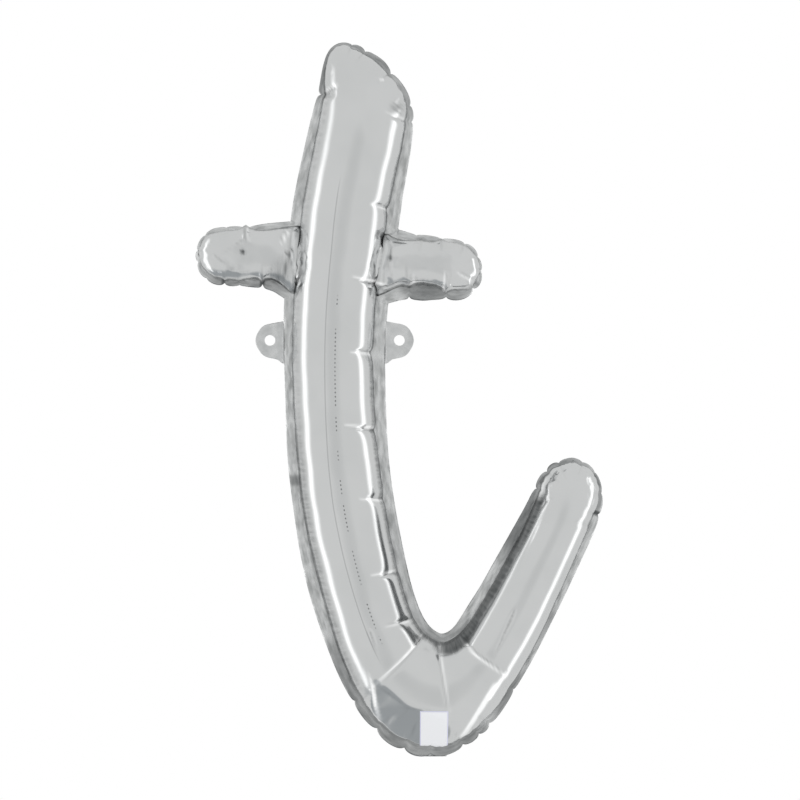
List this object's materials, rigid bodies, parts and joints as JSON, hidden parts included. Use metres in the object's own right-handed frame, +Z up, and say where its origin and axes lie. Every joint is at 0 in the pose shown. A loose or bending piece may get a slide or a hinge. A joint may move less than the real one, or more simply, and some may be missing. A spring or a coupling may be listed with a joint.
{
  "type": "letter foil balloon",
  "caption": "Inflated foil balloon shaped as a script letter t, with a welded seam, punched hanging tabs and a folded filling neck.",
  "frame": {"origin": "midway between the punched holes of the two hanging tabs, in the plane of the seam", "axes": "+Z up the letter, +X to the letter's right as it is read, -Y out of its front"},
  "size_m": [0.3437, 0.0814, 0.6025],
  "materials": {
    "front_film": "bright metallised film, silver",
    "back_film": "bright metallised film, silver",
    "seam_film": "welded film, satin and slightly puckered",
    "tab_film": "welded film, satin",
    "neck_film": "metallised film, silver",
    "valve_film": "thin clear film"
  },
  "bodies": {
    "balloon": {"front_film": "front_film", "back_film": "back_film", "seam_flange": "seam_film"},
    "left_tab": {"left_hanging_tab": "tab_film"},
    "right_tab": {"right_hanging_tab": "tab_film"},
    "neck": {"inflation_neck": "neck_film", "valve_film": "valve_film"}
  },
  "joints": [
    {"name": "left_tab_fold", "type": "hinge", "parent": "balloon", "child": "left_tab", "pos_m": [-0.0432, 0, -0.002], "axis": [0, 0, 1], "range_deg": [-85, 85], "stiffness_Nm_per_rad": 0.0005},
    {"name": "right_tab_fold", "type": "hinge", "parent": "balloon", "child": "right_tab", "pos_m": [0.0432, 0, -0.002], "axis": [0, 0, 1], "range_deg": [-85, 85], "stiffness_Nm_per_rad": 0.0005},
    {"name": "neck_fold", "type": "hinge", "parent": "balloon", "child": "neck", "pos_m": [0.082, 0, -0.3492], "axis": [-1, 0, 0], "range_deg": [0, 100]}
  ]
}
